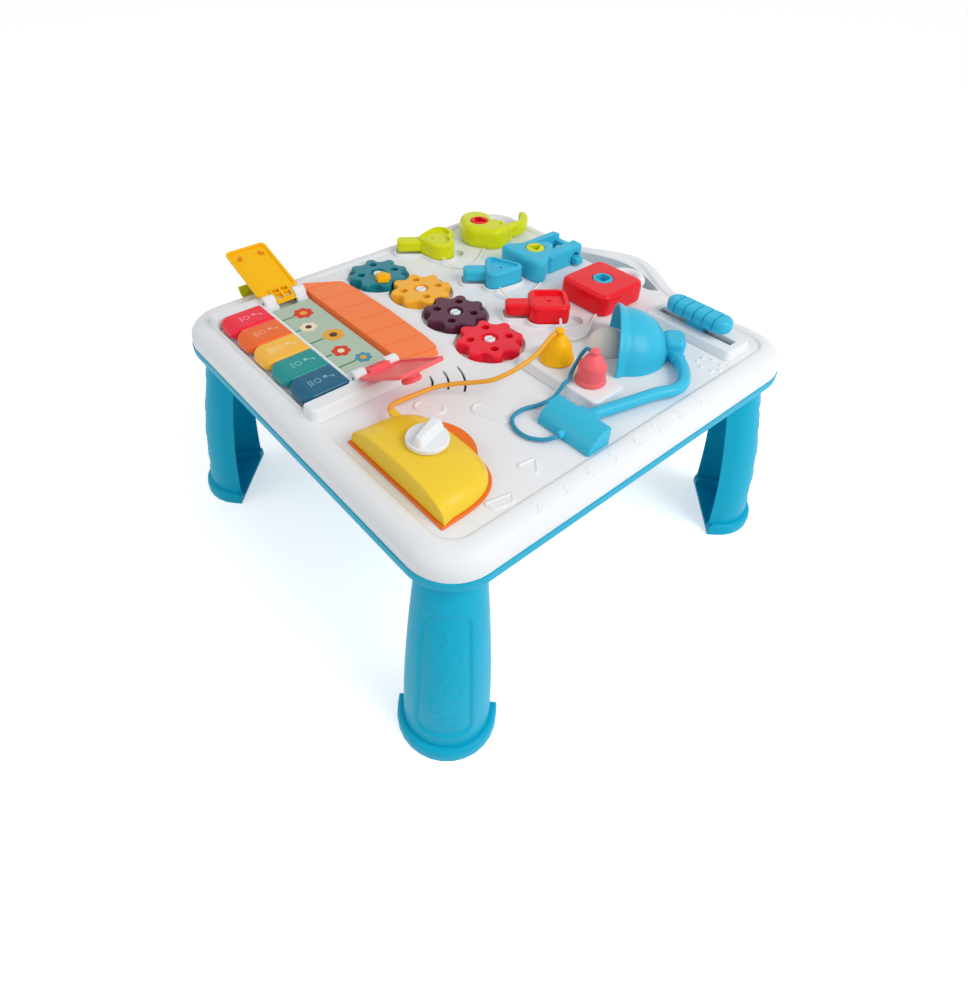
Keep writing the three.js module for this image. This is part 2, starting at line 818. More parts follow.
// Lamp: wedge foot with a collar and a gland, bent arm, half shade with its neck, bulb
const footHalfX = 27.5;
const footSteps = 8;
const footDepth = 24.9;
const footHeight = 18;
const collarHalfX = 10;
const collarDepth = 9;
const collarHeight = 14.5;
const armRadius = 5.5;
const armZ = 7.6;
const armReach = 132;
const glandRadius = 3.4;
const glandReach = 2.6;
const glandX = -1.5;
const glandZ = 5;
const shadeRadius = 44;
const shadeDepth = 49;
const shadeFlare = 3.4;
const shadeBand = 8;
const shadeTurn = 43.3;
const shadeSteps = 6;
const shadeSides = 24;
const shadeWall = 2.4;
const neckHalf = 12.4;
const neckDepth = 20;
const neckTop = 21;
const neckRound = 4;
const bulbRadius = 17;
const bulbOut = 6;
const bulbZ = 3;
const bulbStem = 7.5;
const bulbSeat = 4.2;
const bulbSide = 2.8;
const armSteps = 20;
const armShares = [
  [0, 0.28], [0.03, 0.403], [0.078, 0.598], [0.115, 0.745], [0.162, 0.87], [0.152, 0.964],
  [0.091, 1.062], [-0.02, 1.16], [-0.1, 1.195],
];

const lamp = onDeck(lampShare);
const wedge = arc(footDepth, seatGap, footHeight - seatGap, 180, 90, footSteps)
  .map((point) => at(footDepth - (footDepth - point.x) * footDepth / footHeight, point.y));
const wedgeSide = [at(footDepth, seatGap), ...wedge.reverse()];
const footGeometry = loft([ringAt(wedgeSide, -footHalfX), ringAt(wedgeSide, footHalfX)]);
footGeometry.rotateX(Math.PI / 2);
footGeometry.rotateZ(Math.PI / 2);
const collar = block(
  -collarHalfX, collarHalfX, footDepth - overrun, footDepth + collarDepth, seatGap, collarHeight,
);
const lampFoot = joined(
  solidOf(footGeometry),
  collar,
  barY(glandRadius, -glandReach, footDepth / 2, glandX, glandZ),
);
piece('lamp_base', lampFoot, sky, smooth, lamp);
const armStart = [0, footDepth + collarDepth + seatGap, armZ];
const armRoute = [
  armStart,
  [0, armStart[1] + armRadius, armZ],
  ...armShares.map(([xShare, yShare]) => [armReach * xShare, armReach * yShare, armZ]),
];

const shade = onDeck(shadeShare);
shade.rotation.z = THREE.MathUtils.degToRad(shadeTurn);

function shadeProfile(trim, start) {
  const band = shadeRadius - shadeFlare;
  const profile = [
    [0, start],
    [shadeRadius - trim, start],
    [shadeRadius - shadeFlare / 3 - trim, shadeBand / 2],
  ];
  for (let step = 0; step <= shadeSteps; step += 1) {
    const angle = Math.PI / 2 * step / shadeSteps;
    const height = shadeBand + (shadeDepth - shadeBand - trim) * Math.sin(angle);
    profile.push([(band - trim) * Math.cos(angle), height]);
  }
  profile.at(-1)[0] = 0;
  return profile;
}

const shadeOuter = turned(shadeProfile(0, 0), shadeSides);
const shadeInner = turned(shadeProfile(shadeWall, -overrun), shadeSides);
shadeOuter.rotateY(Math.PI / 2);
shadeInner.rotateY(Math.PI / 2);
const aboveDeck = block(-shadeDepth, shadeDepth * 2, -shadeDepth, shadeDepth, seatGap, shadeDepth * 2);
const neckPlan = rounded(
  rectangle(shadeDepth - neckDepth / 3, shadeDepth + neckDepth * 2 / 3, -neckHalf, neckHalf),
  neckRound,
);
const neck = stack(neckPlan, [[0, seatGap], [0, neckTop - lockChamfer], [lockChamfer, neckTop]]);
const shadeSolid = without(joined(solidOf(shadeOuter), neck), solidOf(shadeInner)).intersect(aboveDeck);
piece('lamp_shade', shadeSolid, sky, smooth, shade);

const bulbBall = new THREE.SphereGeometry(bulbRadius, roundSides, smallSides);
bulbBall.translate(-bulbOut, bulbSide, bulbZ);
const bulbEnd = shadeDepth - shadeWall - bulbSeat;
const bulb = joined(
  solidOf(bulbBall),
  barX(bulbStem, -bulbOut, bulbEnd, 0, bulbZ + bulbStem / 2),
).intersect(aboveDeck);
piece('lamp_bulb', bulb, '#f1efe6', satin, shade);

const armLow = new THREE.Matrix4().makeRotationZ(-shade.rotation.z);
armLow.multiply(new THREE.Matrix4().makeTranslation(
  lamp.position.x - shade.position.x, lamp.position.y - shade.position.y, 0,
));
const neckKeep = stack(inset(neckPlan, -seatGap), [[0, -overrun], [0, neckTop + overrun]]);
const armGeometry = geometryOf(tube(armRoute, armRadius, smallSides, armSteps));
armGeometry.applyMatrix4(armLow);
const armSolid = solidOf(armGeometry).subtract(neckKeep);
piece('lamp_arm', armSolid, sky, smooth, shade);

// Dial: base plate, domed cover with a gland, turning disc that shows behind it, knob
const coverHalfX = 55.8;
const coverDepth = 62.9;
const coverHeight = 23;
const coverPower = 3.4;
const coverSteps = 18;
const coverWall = 2.5;
const baseLip = 4.2;
const baseHeight = 2.3;
const knobX = -0.6;
const knobY = 31.6;
const knobRadius = 16.5;
const knobHeight = 4.2;
const knobChamfer = 1.2;
const handleLength = 30;
const handleWidth = 7;
const handleHeight = 8.5;
const handleTurn = 110;
const knobTravel = 45;
const shaftRadius = 4;
const discRadius = 40.8;
const discLow = 8.5;
const discHigh = 11.5;
const discHub = 9;
const discSpread = 75;
const seatRadius = 18;
const coverShares = [0.1, 0.35, 0.55, 0.72, 0.86, 0.95];
const dialGlandX = -52.6;
const dialGlandY = 38.4;
const dialGlandZ = 12;
const slotSteps = 20;
const discSteps = 16;

const dial = onDeck(dialShare);

function coverRing(halfX, depth, front, z, share) {
  const size = (1 - share ** 3) ** (1 / 3);
  const ring = arc(0, 0, 1, 0, 180, coverSteps).map((unit) => {
    const x = Math.sign(unit.x) * Math.abs(unit.x) ** (2 / coverPower);
    const y = Math.abs(unit.y) ** (2 / coverPower);
    return at(x * halfX * size, front + y * depth * size);
  });
  return ringAt(ring, z);
}

function coverSolid(trim, low) {
  const halfX = coverHalfX - trim;
  const depth = coverDepth - 2 * trim;
  const rings = coverShares.map((share) => {
    return coverRing(halfX, depth, trim, (coverHeight - trim) * share, share);
  });
  rings[0] = coverRing(halfX, depth, trim, low, coverShares[0]);
  return solidOf(loft(rings));
}

const coverPlan = coverRing(coverHalfX, coverDepth, 0, 0, 0).map((point) => at(point.x, point.y));
const basePlan = inset(coverPlan, -baseLip);
piece('dial_base', prism(basePlan, seatGap, baseHeight), '#ee7a25', smooth, dial);
const coverLow = baseHeight + seatGap;
const slotSpread = discSpread + knobTravel;
const slotReach = discRadius + runGap;
const slotArc = arc(knobX, knobY, slotReach, quarter - slotSpread, quarter + slotSpread, slotSteps);
const slotCut = prism([at(knobX, knobY), ...slotArc], discLow - runGap, discHigh + runGap);
const cover = without(
  joined(
    without(coverSolid(0, coverLow), coverSolid(coverWall, -overrun)),
    drum(knobX, knobY, seatRadius, discHigh + 2 * runGap, coverHeight),
    barX(glandRadius, dialGlandX - glandReach, dialGlandX + 2 * glandRadius, dialGlandY, dialGlandZ),
  ),
  slotCut,
  drum(knobX, knobY, shaftRadius + runGap, 0, coverHeight + overrun, smallSides),
);
piece('dial_cover', cover, '#e5c93a', smooth, dial);
const discArc = arc(0, 0, discRadius, quarter - discSpread, quarter + discSpread, discSteps);
const disc = without(
  joined(prism([at(0, 0), ...discArc], discLow, discHigh), drum(0, 0, discHub, discLow, discHigh)),
  drum(0, 0, shaftRadius + seatGap, discLow - overrun, discHigh + overrun, smallSides),
);
piece('dial_disc', disc, '#ee7a25', smooth, dial).position.set(knobX, knobY, 0);
const knobLow = coverHeight + seatGap;
const knobTop = knobLow + knobHeight;
const gripBar = rounded(
  rectangle(-handleLength / 2, handleLength / 2, -handleWidth / 2, handleWidth / 2),
  handleWidth / 2,
);
const knob = joined(
  stack(circle(0, 0, knobRadius, pocketSides), [
    [0, knobLow],
    [0, knobTop - knobChamfer],
    [knobChamfer, knobTop],
  ]),
  drum(0, 0, shaftRadius, coverLow + seatGap, knobLow + overrun, smallSides),
  stack(placed(gripBar, 0, 0, handleTurn), [
    [0, knobTop - overrun],
    [0, knobTop + handleHeight - knobChamfer],
    [knobChamfer, knobTop + handleHeight],
  ]),
);
piece('dial_knob', knob, white, smooth, dial).position.set(knobX, knobY, 0);

// Cords from the plugs: the yellow one to the dial, the blue one to the lamp
const yellowCordRadius = 2;
const blueCordRadius = 1.75;
const cordSides = 8;
const yellowCordSteps = 26;
const blueCordSteps = 30;
const yellowRoute = [
  [88.9, 221.9, 38], [89.3, 217, 37.6], [91.5, 208, 35.5], [94.5, 196, 32.5], [95.2, 182, 29],
  [92, 165, 24], [85.5, 153, 19], [76, 144, 15.5], [64, 131, 13], [55, 116, 11], [51.5, 100, 9.5],
  [51.2, 86, 10.5], [53.4, 74, 12], [57.4, 69.1, 12], [60, 69, 12],
];
const blueRoute = [
  [125.2, 225.6, 38.8], [121.5, 225.7, 38], [117, 226, 31], [114.4, 223.5, 21], [115.4, 217, 13.6],
  [119.8, 210, 12.4], [120.8, 203.2, 12.2], [120.8, 198.4, 7.4], [120.3, 191.5, 2.4],
  [119.4, 176, 2.4], [115.4, 161, 2.4], [118, 147, 2.4], [129, 139.6, 2.4], [142, 139.4, 2.6],
  [153, 145.4, 3.6], [158.2, 152.6, 5], [158.5, 156.5, 5],
];
const yellowCord = tube(laid(yellowRoute), yellowCordRadius, cordSides, yellowCordSteps);
piece('cord_yellow', yellowCord, amber, satin, deck);
const blueCord = tube(laid(blueRoute), blueCordRadius, cordSides, blueCordSteps);
piece('cord_blue', blueCord, '#3b9dbb', satin, deck);

// House: plinth with the key bay, the card recess and the knuckles of the two door hinges
const houseHalfX = 98.3;
const houseFront = -74.3;
const houseBack = 23.7;
const houseTop = 12;
const houseSlope = 3.4;
const houseRound = 7;
const bayHalfX = 81.4;
const bayFront = -70.9;
const bayBack = -25.3;
const lipHeight = 4;
const hingeHalfX = 79.1;
const hingeZ = 12.8;
const knuckleRadius = 6.5;
const knuckleInner = 10.5;
const knuckleOuter = 22.5;
const pinRadius = 1.6;
const wellRadius = 10.4;
const wellFloor = 2.5;
const cardFloor = 7;
const cardHeight = 1;
const hollowTop = 5.4;
const hollowBack = -14.5;
const keyRodY = -19.8;
const keyRodZ = 2.9;
const keyRodRadius = 1;
const rodSeat = 3;

const house = onDeck(houseShare);
const housePlan = rounded(rectangle(-houseHalfX, houseHalfX, houseFront, houseBack), houseRound);
const houseLevels = [
  [0, seatGap],
  [houseSlope - overrun, houseTop - overrun],
  [houseSlope, houseTop],
];
const cardHalfX = hingeHalfX - wellRadius;
const houseParts = [stack(housePlan, houseLevels)];
const houseCuts = [
  block(-bayHalfX, bayHalfX, bayFront, bayBack, -overrun, houseTop + overrun),
  block(-bayHalfX, bayHalfX, houseFront - overrun, bayFront + overrun, lipHeight, houseTop + overrun),
  block(-bayHalfX, bayHalfX, bayBack - overrun, hollowBack, -overrun, hollowTop),
  block(-cardHalfX, cardHalfX, hollowBack - overrun, knuckleOuter - wall, -overrun, hollowTop),
  block(-cardHalfX, cardHalfX, -knuckleOuter, knuckleOuter, cardFloor, houseTop + overrun),
  barX(keyRodRadius + seatGap, -bayHalfX - rodSeat, bayHalfX + rodSeat, keyRodY, keyRodZ),
];
for (const side of [-1, 1]) {
  const x = side * hingeHalfX;
  const ends = [[-knuckleOuter, -knuckleInner], [knuckleInner, knuckleOuter]];
  ends.forEach(([y0, y1]) => houseParts.push(barY(knuckleRadius, y0, y1, x, hingeZ, roundSides)));
  const bore = pinRadius + seatGap;
  houseCuts.push(
    block(x - wellRadius, x + wellRadius, -knuckleInner, knuckleInner, wellFloor, houseTop + knuckleRadius),
    barY(bore, -knuckleOuter - overrun, knuckleOuter + overrun, x, hingeZ),
  );
}
const houseFoot = block(
  -houseHalfX, houseHalfX, houseFront, houseBack, seatGap, houseTop + 2 * knuckleRadius,
);
const houseSolid = without(joined(...houseParts).intersect(houseFoot), ...houseCuts);
piece('house_frame', houseSolid, white, satin, house);

const cardMargin = 0.5;
const card = block(
  cardMargin - cardHalfX, cardHalfX - cardMargin, cardMargin - knuckleOuter, knuckleOuter - cardMargin,
  cardFloor + seatGap, cardFloor + seatGap + cardHeight,
);
piece('picture_card', card, sage, satin, house);

// Roof behind the doors, sloping down to the back, with grooves along the slope
const roofFront = 24.2;
const roofClearance = 3.3;
const roofCornerDrop = 5;
const roofTop = 12;
const roofDrop = 5;
const roofGrooves = 6;
const roofGroovePitch = 26.8;
const roofBackShares = [0.82, 0.6, 0, -0.6, -0.82];

const roofPeak = gearCentres[0].y - gearTip - roofClearance - house.position.y - roofFront;
const roofDepth = roofPeak - roofCornerDrop;
const roofBackDepths = [roofDepth, roofPeak - 2 * overrun, roofPeak, roofPeak - 2 * overrun, roofDepth];

const roofBack = roofBackShares.map((share, index) => {
  return at(houseHalfX * share, roofFront + roofBackDepths[index]);
});
const roofPlan = rounded(
  [at(-houseHalfX, roofFront), at(houseHalfX, roofFront), ...roofBack],
  houseRound,
);

function roofHeight(y) {
  return roofTop - roofDrop * (y - roofFront) / roofPeak;
}

function roofRing(depth, below) {
  return inset(roofPlan, depth).map((point) => {
    return new THREE.Vector3(point.x, point.y, roofHeight(point.y) - below);
  });
}

const roofRings = [ringAt(roofPlan, seatGap), roofRing(overrun, lockChamfer), roofRing(houseSlope, 0)];
const roofCuts = [];
for (let groove = 0; groove < roofGrooves; groove += 1) {
  const x = (groove - (roofGrooves - 1) / 2) * roofGroovePitch;
  const line = [at(x - overrun / 2, 0), at(x + overrun / 2, 0)];
  const start = roofFront + houseSlope;
  const end = roofFront + roofPeak;
  const lower = [
    ...line.map((point) => new THREE.Vector3(point.x, start, roofHeight(start) - overrun)),
    ...line.reverse().map((point) => new THREE.Vector3(point.x, end, roofHeight(end) - overrun)),
  ];
  const upper = lower.map((point) => point.clone().setZ(roofTop + overrun));
  roofCuts.push(solidOf(loft([lower, upper])));
}
piece('roof', without(solidOf(loft(roofRings)), ...roofCuts), orange, smooth, house);

// Doors with their lugs and hinge pins, the knob of one and the latch of the other
const doorStart = 8.5;
const doorGap = 0.8;
const doorEnd = hingeHalfX - doorGap / 2;
const doorHalfY = 22.2;
const doorRound = 5;
const doorUnder = -0.4;
const doorOver = 2.8;
const doorRim = 3;
const doorSkin = 1.6;
const lugHalfY = knuckleInner - runGap;
const lugOut = 7;
const lugUnder = -4;
const lugWall = 2;
const knobReach = 55;
const doorKnobRadius = 7.5;
const doorKnobHead = 8.6;
const doorKnobHeight = 9.6;
const latchReach = 50;
const latchLift = 3;
const latchBarrel = 2.5;
const latchPinRadius = 1.1;
const latchHalfY = 12;
const earLength = 3.4;
const latchHalf = 1.2;
const latchNeck = 13;
const latchLobe = 24;
const latchStretchShare = 1.17;
const latchRing = 13.6;
const latchHole = 9.6;
const yellowOpen = 161.7;
const pinkOpen = 149.5;

function door(side) {
  const [near, far] = side > 0 ? [doorStart, doorEnd] : [-doorEnd, -doorStart];
  const plan = rounded(rectangle(near, far, -doorHalfY, doorHalfY), doorRound);
  const hollow = prism(inset(plan, doorRim), doorUnder - overrun, doorOver - doorSkin);
  const lugBox = block(
    -side * lugOut, side * (doorStart + doorRim), -lugHalfY, lugHalfY, lugUnder, doorOver,
  );
  const lugHollow = block(
    side * (lugWall - lugOut), side * (doorStart - lugWall), lugWall - lugHalfY, lugHalfY - lugWall,
    lugUnder - overrun, doorOver - doorSkin,
  );
  return without(
    joined(without(prism(plan, doorUnder, doorOver), hollow), without(lugBox, lugHollow)),
    barY(pinRadius + seatGap, -doorHalfY, doorHalfY, 0, 0),
  );
}

const doorPlaces = [-1, 1].map((end) => {
  const place = group(house, end * hingeHalfX, 0, hingeZ);
  const pin = barY(pinRadius, -knuckleOuter, knuckleOuter, 0, 0);
  piece(end < 0 ? 'door_pin_yellow' : 'door_pin_pink', pin, steel, satin, place);
  return place;
});
const yellowPlace = group(doorPlaces[0]);
yellowPlace.rotation.y = -THREE.MathUtils.degToRad(yellowOpen);
const pinkPlace = group(doorPlaces[1]);
pinkPlace.rotation.y = THREE.MathUtils.degToRad(pinkOpen);

const latchAxis = doorOver + latchLift;
const ears = [-1, 1].map((end) => {
  const y0 = end < 0 ? -latchHalfY - earLength : latchHalfY + runGap;
  const y1 = end < 0 ? -latchHalfY - runGap : latchHalfY + earLength;
  return joined(
    barY(latchBarrel, y0, y1, latchReach, latchAxis),
    block(latchReach - latchBarrel, latchReach + latchBarrel, y0, y1, doorOver - overrun, latchAxis),
  );
});
const latchBore = barY(latchPinRadius + seatGap, -doorHalfY, doorHalfY, latchReach, latchAxis);
piece('door_yellow', without(joined(door(1), ...ears), latchBore), sun, smooth, yellowPlace);
const doorKnob = joined(
  drum(-knobReach, 0, doorKnobRadius, doorOver - overrun, doorOver + doorKnobHeight),
  drum(-knobReach, 0, doorKnobHead, doorOver + doorKnobHeight * 2 / 3, doorOver + doorKnobHeight),
);
piece('door_pink', joined(door(-1), doorKnob), pink, smooth, pinkPlace);

// The latch hangs outside the deck and leans on the corner of its rim that it meets first
const openAngle = THREE.MathUtils.degToRad(yellowOpen);
const hingePoint = at(latchReach, 0).add(at(0, latchAxis)).rotateAround(at(0, 0), openAngle);
const hingeX = spot(houseShare).x - hingeHalfX + hingePoint.x;
const hingeHeight = hingeZ + hingePoint.y;
const rimCorners = [
  [0, -rimShoulder],
  [rimRound / 3, -rimShoulder * rimBulgeShare],
  [rimRound, 0],
  [beadStart, beadHeight],
];
const lipCorners = [
  [-lipProud, trayRound - rimDrop - trayDepth],
  [-lipProud, -rimDrop],
];
const leanAngle = Math.max(...[...rimCorners, ...lipCorners].map(([depth, height]) => {
  const run = at(hingeX + deckWidth / 2 - depth, hingeHeight - height);
  return Math.atan2(run.x, run.y) + Math.asin((latchHalf + runGap) / run.length());
}));
const latchPlace = group(yellowPlace, latchReach, 0, latchAxis);
latchPlace.rotation.y = openAngle - (Math.PI * 3 / 2 - leanAngle);
const ringCentre = 2 * hingeHalfX - latchReach - knobReach;
const lobePlan = arc(0, 0, latchLobe, -90, 90, smallSides)
  .map((point) => at(latchNeck + point.x * latchStretchShare, point.y));
const latch = without(
  joined(
    prism(lobePlan, -latchHalf, latchHalf),
    block(0, latchNeck + overrun, runGap - latchHalfY, latchHalfY - runGap, -latchHalf, latchHalf),
    barY(latchBarrel, runGap - latchHalfY, latchHalfY - runGap, 0, 0),
    drum(ringCentre, 0, latchRing, -latchHalf, latchHalf),
  ),
  drum(ringCentre, 0, latchHole, -latchHalf - overrun, latchHalf + overrun),
  barY(latchPinRadius + seatGap, -latchHalfY, latchHalfY, 0, 0),
);
piece('door_latch', latch, lime, smooth, latchPlace);
const latchPin = barY(latchPinRadius, -latchHalfY - earLength, latchHalfY + earLength, 0, 0);
piece('latch_pin', latchPin, steel, satin, latchPlace);

// Piano keys on their rod
const pianoCount = 5;
const pianoPitch = 32.1;
const pianoGap = 0.8;
const pianoFront = -50.2;
const pianoBack = -5.9;
const pianoLow = 2.6;
const pianoHigh = 11.3;
const pianoRound = 8;
const hubRadius = 2.2;
const hubHalf = 7;
const pianoArmHalf = 5;
const pianoColours = ['#e9283f', '#ee6a22', '#f5bc45', '#0e8f80', '#0b4f78'];
const pianoHalf = (pianoPitch - pianoGap) / 2;
const crownShares = [[0.06, 0], [0, 0.1], [0, 0.42], [0.05, 0.66], [0.16, 0.86], [0.34, 0.97], [0.5, 1]];

for (let number = 0; number < pianoCount; number += 1) {
  const x = (number - (pianoCount - 1) / 2) * pianoPitch;
  const place = group(house, x, keyRodY, keyRodZ);
  const plan = [
    at(pianoHalf, pianoBack),
    at(-pianoHalf, pianoBack),
    ...arc(pianoRound - pianoHalf, pianoFront + pianoRound, pianoRound, 180, 270, cornerSteps),
    ...arc(pianoHalf - pianoRound, pianoFront + pianoRound, pianoRound, 270, 360, cornerSteps),
  ];
  const rise = pianoHigh - pianoLow;
  const levels = crownShares.map(([inShare, upShare]) => [rise * inShare, pianoLow + rise * upShare]);
  const arm = block(
    -pianoArmHalf, pianoArmHalf, pianoBack - pianoRound, 0, 2 * seatGap - hubRadius, hubRadius,
  );
  const keyJoin = block(
    -pianoArmHalf, pianoArmHalf, pianoBack - pianoRound, pianoBack - overrun, 0, pianoLow + overrun,
  );
  const solid = without(
    joined(stack(plan, levels), arm, keyJoin, barX(hubRadius, -hubHalf, hubHalf, 0, 0)),
    barX(keyRodRadius + seatGap, -hubHalf - overrun, hubHalf + overrun, 0, 0),
  );
  piece(`piano_key_${number + 1}`, solid, pianoColours[number], smooth, place);
}
const rodHalf = bayHalfX + rodSeat - seatGap;
const rod = barX(keyRodRadius, -rodHalf, rodHalf, keyRodY, keyRodZ);
piece('piano_key_rod', rod, steel, satin, house);

// Deck outline: round corners and the swell of the handle at the back
function deckOutline() {
  const half = deckWidth / 2 - cornerRadius;
  const swell = [];
  const swellSteps = 12;
  for (let step = 1; step < swellSteps; step += 1) {
    const x = handleHalf * (1 - 2 * step / swellSteps);
    swell.push(at(x, deckDepth + handleRise * (1 + Math.cos(Math.PI * x / handleHalf)) / 2));
  }
  return [
    ...arc(half, cornerRadius, cornerRadius, 270, 360, cornerSteps),
    ...arc(half, deckDepth - cornerRadius, cornerRadius, 0, 90, cornerSteps),
    at(handleHalf, deckDepth),
    ...swell,
    at(-handleHalf, deckDepth),
    ...arc(-half, deckDepth - cornerRadius, cornerRadius, 90, 180, cornerSteps),
    ...arc(-half, cornerRadius, cornerRadius, 180, 270, cornerSteps),
  ];
}

// Handle hole: a crescent under the swell
const holeHalf = 60;
const holeEnd = 7;
const holeFront = -24;
const holeRise = 21;

function crescent() {
  const points = [
    at(holeEnd - holeHalf, deckDepth + holeFront),
    at(holeHalf - holeEnd, deckDepth + holeFront),
  ];
  const steps = 8;
  for (let step = 0; step <= steps; step += 1) {
    const x = holeHalf * (1 - 2 * step / steps);
    const bow = Math.cos(Math.PI / 2 * x / holeHalf);
    points.push(at(x, deckDepth + holeFront + holeEnd + holeRise * bow));
  }
  return rounded(points, overrun, 1);
}

// Deck shell: rounded rim, cavity, pockets, nests, speaker slots and screw bosses
const cavityBulgeShare = 0.55;
const beadEnd = 20;
const panelStart = 22;
const speakerShares = [0.055714, 0.089048, 0.123571];
const speakerFrom = 38;
const speakerTo = 81;
const speakerSlot = 2.2;
const speakerTurn = 60;
const speakerRadius = 21;
const speakerDepth = 12;
const speakerMargin = 1;
const bossRadius = 4;
const bossInset = 62;
const tongueDepth = 5;

const outline = deckOutline();
const handleHole = crescent();
const rimLevels = [
  [0, -rimDrop],
  ...rimCorners,
  [beadEnd, beadHeight],
  [panelStart, 0],
];
const cavityLevels = [
  [wall, -rimDrop - overrun],
  [wall, -rimShoulder],
  [wall + rimRound / 3, -rimShoulder * cavityBulgeShare],
  [wall + rimRound, -wall],
];
const speakerAngle = THREE.MathUtils.degToRad(speakerTurn);
const slotCentre = spot(slotShare);
const speakerRadii = speakerShares.map((share) => share * deckWidth);
const speakerReach = speakerRadii[1];
const speakerX = slotCentre.x + speakerReach * Math.cos(speakerAngle);
const speakerY = slotCentre.y + speakerReach * Math.sin(speakerAngle);
const bossPlaces = [];
for (const x of [-1, 1]) {
  for (const y of [bossInset, deckDepth - bossInset]) {
    bossPlaces.push(at(x * (deckWidth / 2 - tongueDepth * 3), y));
  }
}

function nestOutline(kind, margin) {
  const place = spot(kind.share);
  const half = shaftWidth / 2 + margin;
  const shaft = rectangle(-half, half, -kind.shaft - margin, 0);
  return [inset(kind.head, -margin), shaft].map((plan) => placed(plan, place.x, place.y, kind.turn));
}

const dishPlace = spot(heartLockShare).add(at(dishX, dishY));
const dishPocket = dishFloor + wall + seatGap;
const additions = [prism(inset(handleHole, -wall), -rimDrop, -overrun)];
const houseSeat = placed(inset(housePlan, -seatGap), house.position.x, house.position.y);
const shellCuts = [
  prism(handleHole, -rimDrop - overrun, beadHeight + overrun),
  prism(houseSeat, 0, beadHeight + overrun),
];
gearCentres.forEach((centre) => {
  const { x, y } = centre;
  additions.push(drum(x, y, pocketRadius + wall, -pocketDepth - wall, -overrun, pocketSides));
  shellCuts.push(drum(x, y, pocketRadius, -pocketDepth, beadHeight, pocketSides));
});
const dishBore = dishRadius + dishMargin;
additions.push(drum(dishPlace.x, dishPlace.y, dishBore + wall, -dishPocket - wall, -overrun));
shellCuts.push(drum(dishPlace.x, dishPlace.y, dishBore, -dishPocket, beadHeight));
const nestRings = [];
for (const kind of keyKinds) {
  const place = spot(kind.share);
  const notch = kind.notch.clone().rotateAround(at(0, 0), THREE.MathUtils.degToRad(kind.turn)).add(place);
  additions.push(drum(notch.x, notch.y, notchRadius + wall, -notchDepth - wall, -overrun));
  shellCuts.push(drum(notch.x, notch.y, notchRadius, -notchDepth, nestHeight + overrun));
  const outer = nestOutline(kind, nestMargin + nestWall).map((plan) => prism(plan, -overrun, nestHeight));
  const inner = nestOutline(kind, nestMargin).map((plan) => prism(plan, 0, nestHeight + overrun));
  nestRings.push(without(joined(...outer), ...inner));
}
for (const radius of speakerRadii) {
  const { x, y } = slotCentre;
  const outer = arc(x, y, radius + speakerSlot / 2, speakerFrom, speakerTo, cornerSteps);
  const inner = arc(x, y, radius - speakerSlot / 2, speakerTo, speakerFrom, cornerSteps);
  shellCuts.push(prism([...outer, ...inner], -wall - overrun, beadHeight));
}
additions.push(without(
  drum(speakerX, speakerY, speakerRadius + speakerMargin + wall, -wall - speakerDepth / 2, -overrun),
  drum(speakerX, speakerY, speakerRadius + speakerMargin, -rimDrop, -wall),
));
bossPlaces.forEach((boss) => {
  additions.push(drum(boss.x, boss.y, bossRadius, -rimDrop, -overrun, smallSides));
});
const posts = gearCentres.map((centre) => {
  const top = recessFloor + seatGap + prongHeight;
  return without(
    joined(
      drum(centre.x, centre.y, postRadius, -pocketDepth - overrun, top),
      drum(centre.x, centre.y, postRadius + prongOverhang, recessFloor + seatGap, top),
    ),
    block(
      centre.x - prongSlot / 2, centre.x + prongSlot / 2,
      centre.y - 2 * postRadius, centre.y + 2 * postRadius, 0, top + overrun,
    ),
  );
});
const shell = joined(
  without(
    joined(without(stack(outline, rimLevels), stack(outline, cavityLevels)), ...additions, ...nestRings),
    ...shellCuts,
  ),
  ...posts,
);
piece('deck_shell', shell, white, satin, deck);

// Deck tray: pan under the shell with leg sockets, battery box and posts for the board
const trayFloor = 2.5;
const tongueHeight = 4;
const tongueWall = 2.2;
const legInset = 37.7;
const spigotRadius = 21;
const spigotTop = 17;
const socketWall = 2.5;
const boardHalfX = 42;
const boardHalfY = 26;
const boardThick = 1.6;
const boardLift = 3.4;
const boardPost = 3;
const batteryHalfX = 34;
const batteryHalfY = 28;
const batteryLedge = 3;
const batteryCover = 1.5;
const batteryWall = 2;
const batteryHeight = 12;

const trayLow = -rimDrop - trayDepth;
const trayTop = -rimDrop - seatGap;
const trayInner = trayLow + trayFloor;
const legTops = [];
for (const x of [-1, 1]) {
  for (const y of [legInset, deckDepth - legInset]) {
    legTops.push(at(x * (deckWidth / 2 - legInset), y));
  }
}
const trayLevels = [
  [trayRound, trayLow],
  [-lipProud, trayLow + trayRound],
  [-lipProud, trayTop],
];
const traySkirt = wall + seatGap + tongueWall;
const tongue = without(
  stack(outline, [[wall + seatGap, trayTop - overrun], [wall + seatGap, trayTop + tongueHeight]]),
  stack(outline, [
    [traySkirt, trayTop - 2 * overrun],
    [traySkirt, trayTop + tongueHeight + overrun],
  ]),
);
const trayAdd = [tongue, prism(inset(handleHole, -wall), trayLow, trayTop)];
const trayCuts = [prism(handleHole, trayLow - overrun, trayTop + overrun)];
const socketBore = spigotRadius + runGap;
legTops.forEach((top) => {
  trayAdd.push(drum(top.x, top.y, socketBore + socketWall, trayInner - overrun, socketWall - spigotTop));
  trayCuts.push(drum(top.x, top.y, socketBore, trayLow - overrun, -spigotTop));
});
const boardPlace = spot(boardShare);
for (const x of [-1, 1]) {
  for (const y of [-1, 1]) {
    trayAdd.push(drum(
      boardPlace.x + x * (boardHalfX - 2 * boardPost), boardPlace.y + y * (boardHalfY - 2 * boardPost),
      boardPost, trayInner - overrun, trayInner + boardLift - seatGap, smallSides,
    ));
  }
}
